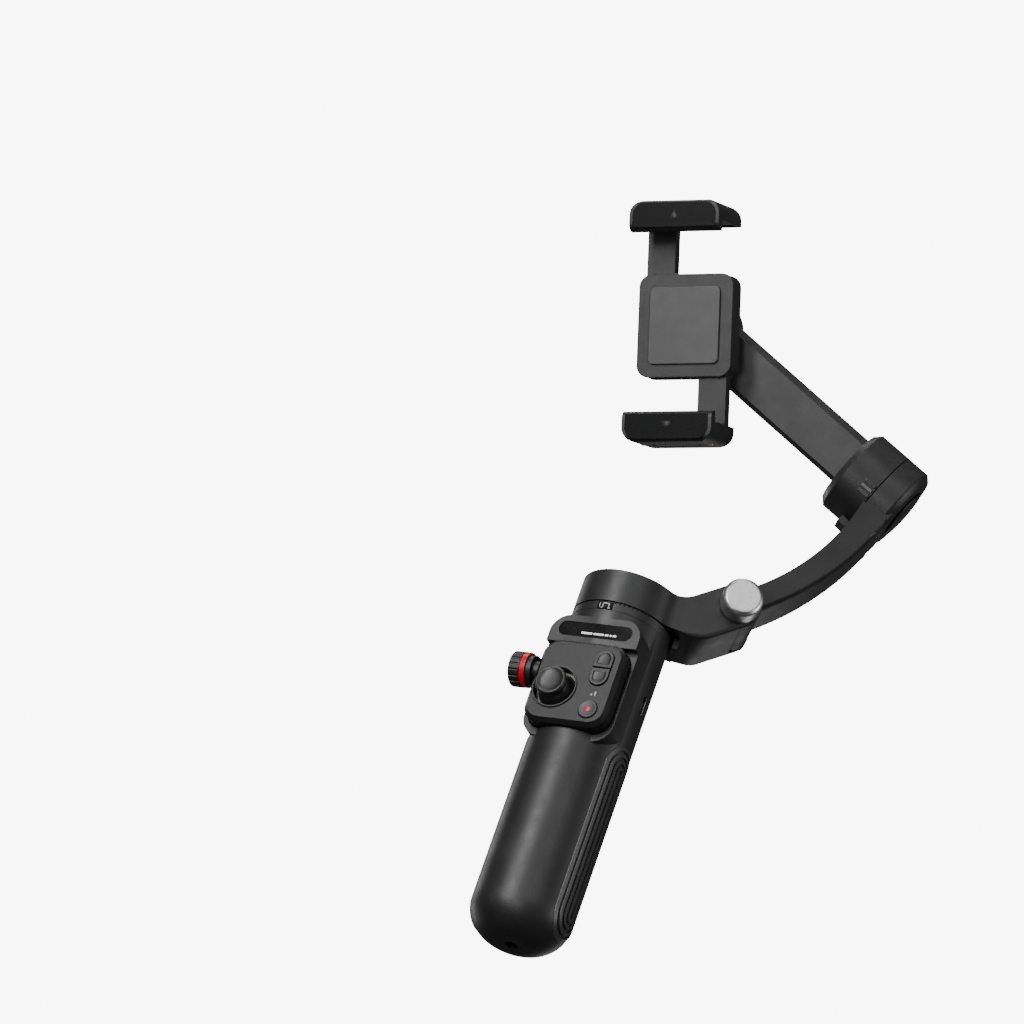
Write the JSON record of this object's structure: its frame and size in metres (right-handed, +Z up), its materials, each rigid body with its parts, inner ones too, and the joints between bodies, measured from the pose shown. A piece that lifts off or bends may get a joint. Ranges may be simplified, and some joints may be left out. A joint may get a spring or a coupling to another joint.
{
  "type": "smartphone gimbal",
  "caption": "Folding three-axis handheld stabiliser for a phone: round grip with pull-off remote, motorised pan, tilt and roll arms, and a spring-loaded phone clamp.",
  "frame": {"origin": "mouth of the tripod socket, at the middle of the handle's bottom", "axes": "+Z up the handle's axis, -Y out of the remote's face, +X to the user's right when that face is towards them"},
  "size_m": [0.1228, 0.1031, 0.3214],
  "materials": {
    "body_plastic": "soft-touch charcoal plastic, very fine grain",
    "trim_plastic": "matt black plastic",
    "dock_plastic": "fine-grained dark grey plastic",
    "gloss_black": "glossy black window",
    "rubber_pad": "black silicone rubber, ribbed",
    "red_ring": "glossy red plastic",
    "white_polymer": "natural acetal",
    "knurled_silver": "bead-blasted and knurled silver",
    "satin_steel": "satin steel",
    "bright_steel": "ground steel",
    "brass_insert": "turned brass",
    "gold_contact": "gold-plated contacts",
    "copper_core": "varnished copper windings on a steel core",
    "magnet_nickel": "nickel-plated magnets",
    "board_green": "solder-masked circuit board",
    "cell_wrap": "shrink-wrapped cell"
  },
  "bodies": {
    "handle": {"handle_shell": "body_plastic", "tripod_insert": "brass_insert", "inner_frame": "trim_plastic", "battery_cell": "cell_wrap", "main_board": "board_green", "usb_port": "satin_steel", "grip_pad_right": "rubber_pad", "grip_pad_left": "rubber_pad", "dock_floor": "dock_plastic", "dock_contacts": "gold_contact", "dock_magnets": "magnet_nickel", "display_window": "gloss_black", "display_panel": "gloss_black", "trigger_pin": "bright_steel", "pan_collar": "body_plastic", "pan_stator": "copper_core", "pan_bearings": "bright_steel"},
    "trigger": {"back_trigger": "trim_plastic"},
    "yoke": {"pan_shaft": "bright_steel", "pan_magnets": "magnet_nickel", "fold_clevis": "body_plastic", "hinge_bolt": "satin_steel"},
    "knob": {"lock_knob": "knurled_silver"},
    "arm": {"main_arm": "body_plastic", "tilt_cap_disc": "trim_plastic", "tilt_stator": "copper_core", "tilt_bearings": "bright_steel"},
    "tilt_body": {"tilt_housing": "body_plastic", "tilt_magnets": "magnet_nickel", "tilt_shaft": "bright_steel", "tilt_bar": "body_plastic", "roll_housing": "body_plastic", "roll_cap": "trim_plastic", "roll_stator": "copper_core", "roll_bearings": "bright_steel"},
    "clamp": {"roll_hub": "trim_plastic", "roll_magnets": "magnet_nickel", "clamp_frame": "body_plastic", "clamp_back_pad": "rubber_pad"},
    "pinion": {"clamp_pinion": "white_polymer"},
    "upper_jaw_body": {"upper_jaw": "body_plastic", "upper_jaw_pad": "rubber_pad"},
    "lower_jaw_body": {"lower_jaw": "body_plastic", "lower_jaw_pad": "rubber_pad", "accessory_pad": "dock_plastic", "accessory_contacts": "gold_contact"},
    "remote": {"remote_back": "body_plastic", "remote_front": "body_plastic", "remote_board": "board_green", "remote_cell": "cell_wrap", "remote_contacts": "gold_contact", "joystick_ring": "dock_plastic"},
    "stick_frame": {"stick_yoke": "white_polymer"},
    "stick": {"joystick": "trim_plastic"},
    "upper_key_body": {"upper_key": "trim_plastic"},
    "lower_key_body": {"lower_key": "trim_plastic"},
    "record_key_body": {"record_key": "dock_plastic"},
    "dial": {"dial_shaft": "trim_plastic", "dial_ring": "red_ring", "focus_dial": "trim_plastic"}
  },
  "joints": [
    {"name": "pan_turn", "type": "hinge", "parent": "handle", "child": "yoke", "pos_m": [0, 0, 0.1614], "axis": [0, 0, 1], "range_deg": [-150, 150]},
    {"name": "arm_fold", "type": "hinge", "parent": "yoke", "child": "arm", "pos_m": [0.03421, 0.01975, 0.1614], "axis": [-0.5, 0.866, 0], "range_deg": [-72, 0]},
    {"name": "lock_knob_turn", "type": "hinge", "parent": "yoke", "child": "knob", "pos_m": [0.04621, -0.00103, 0.1614], "axis": [-0.5, 0.866, 0], "range_deg": [-90, 90]},
    {"name": "tilt_turn", "type": "hinge", "parent": "arm", "child": "tilt_body", "pos_m": [0.06963, 0.0402, 0.23454], "axis": [0.796, 0.4596, -0.3939], "range_deg": [-100, 100]},
    {"name": "roll_turn", "type": "hinge", "parent": "tilt_body", "child": "clamp", "pos_m": [-0.01285, 0.00251, 0.2799], "axis": [0.0188, -0.9036, -0.4279], "range_deg": [-120, 120]},
    {"name": "lower_jaw_slide", "type": "slide", "parent": "clamp", "child": "lower_jaw_body", "axis": [0.1076, 0.4273, -0.8977], "range_m": [-0.0168, 0.0062]},
    {"name": "upper_jaw_slide", "type": "slide", "parent": "clamp", "child": "upper_jaw_body", "axis": [-0.1076, -0.4273, 0.8977], "range_m": [-0.0168, 0.0062]},
    {"name": "pinion_turn", "type": "hinge", "parent": "clamp", "child": "pinion", "pos_m": [-0.01268, -0.00562, 0.27605], "axis": [-0.0188, 0.9036, 0.4279], "range_deg": [-195, 75]},
    {"name": "trigger_press", "type": "hinge", "parent": "handle", "child": "trigger", "pos_m": [0, 0.0154, 0.112], "axis": [-1, 0, 0], "range_deg": [0, 8], "stiffness_Nm_per_rad": 0.25},
    {"name": "remote_pull", "type": "slide", "parent": "handle", "child": "remote", "axis": [0, -1, 0], "range_m": [0, 0.03]},
    {"name": "stick_pitch", "type": "hinge", "parent": "remote", "child": "stick_frame", "pos_m": [-0.0072, -0.0172, 0.1002], "axis": [1, 0, 0], "range_deg": [-12, 12], "stiffness_Nm_per_rad": 0.06},
    {"name": "stick_yaw", "type": "hinge", "parent": "stick_frame", "child": "stick", "pos_m": [-0.0072, -0.0172, 0.1002], "axis": [0, 0, 1], "range_deg": [-12, 12], "stiffness_Nm_per_rad": 0.06},
    {"name": "upper_key_press", "type": "slide", "parent": "remote", "child": "upper_key_body", "axis": [0, 1, 0], "range_m": [0, 0.0008], "stiffness_N_per_m": 900},
    {"name": "lower_key_press", "type": "slide", "parent": "remote", "child": "lower_key_body", "axis": [0, 1, 0], "range_m": [0, 0.0008], "stiffness_N_per_m": 900},
    {"name": "record_key_press", "type": "slide", "parent": "remote", "child": "record_key_body", "axis": [0, 1, 0], "range_m": [0, 0.0008], "stiffness_N_per_m": 900},
    {"name": "dial_turn", "type": "hinge", "parent": "remote", "child": "dial", "pos_m": [-0.024, -0.01595, 0.1096], "axis": [1, 0, 0], "continuous": true}
  ],
  "couplings": [
    {"joint": "upper_jaw_slide", "follows": "lower_jaw_slide", "ratio": 1},
    {"joint": "pinion_turn", "follows": "lower_jaw_slide", "rad_per_m": 200}
  ]
}
